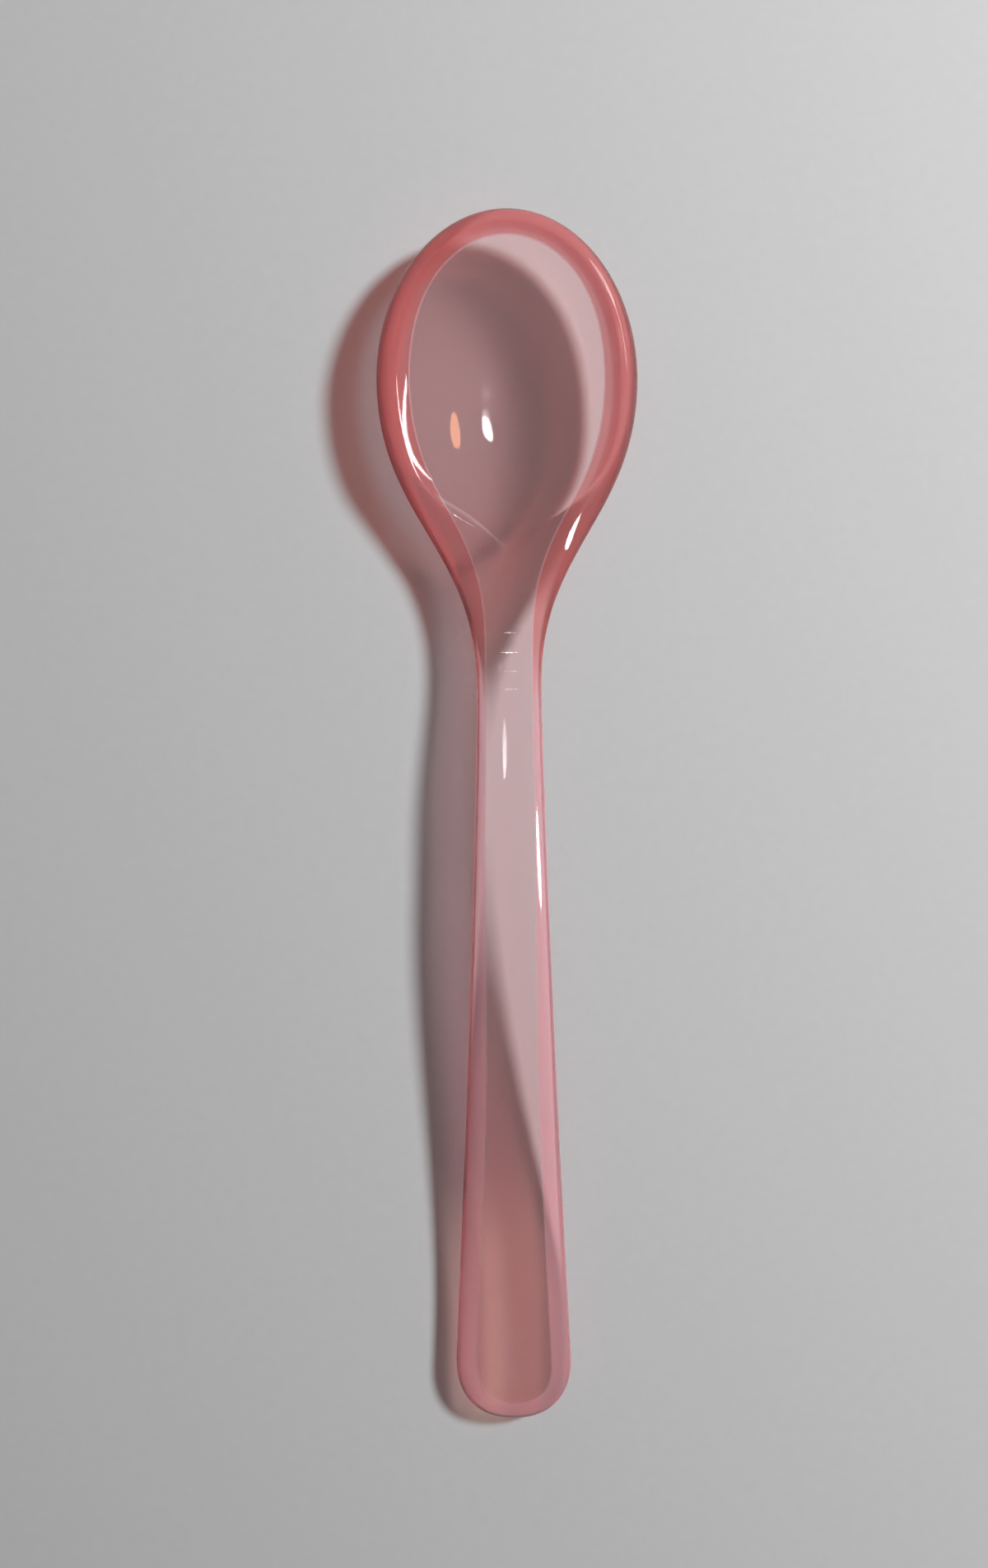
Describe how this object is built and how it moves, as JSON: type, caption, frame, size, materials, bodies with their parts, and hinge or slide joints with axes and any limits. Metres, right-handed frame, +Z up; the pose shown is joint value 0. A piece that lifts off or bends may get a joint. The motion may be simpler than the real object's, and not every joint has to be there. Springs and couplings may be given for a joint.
{
  "type": "mixing spoon",
  "caption": "See-through pink plastic mixing spoon, moulded in one piece, with an egg-shaped bowl, a rounded rim and a flared, gently arched handle.",
  "frame": {"origin": "bottom centre of the bounding box, on the table that the spoon lies on", "axes": "+Y along the spoon towards the tip of the bowl, +X to the right in the picture, +Z up out of the bowl's hollow"},
  "size_m": [0.03, 0.14, 0.0072],
  "materials": {
    "pink_plastic": "glossy, see-through"
  },
  "bodies": {
    "root": {"spoon": "pink_plastic"}
  },
  "joints": []
}
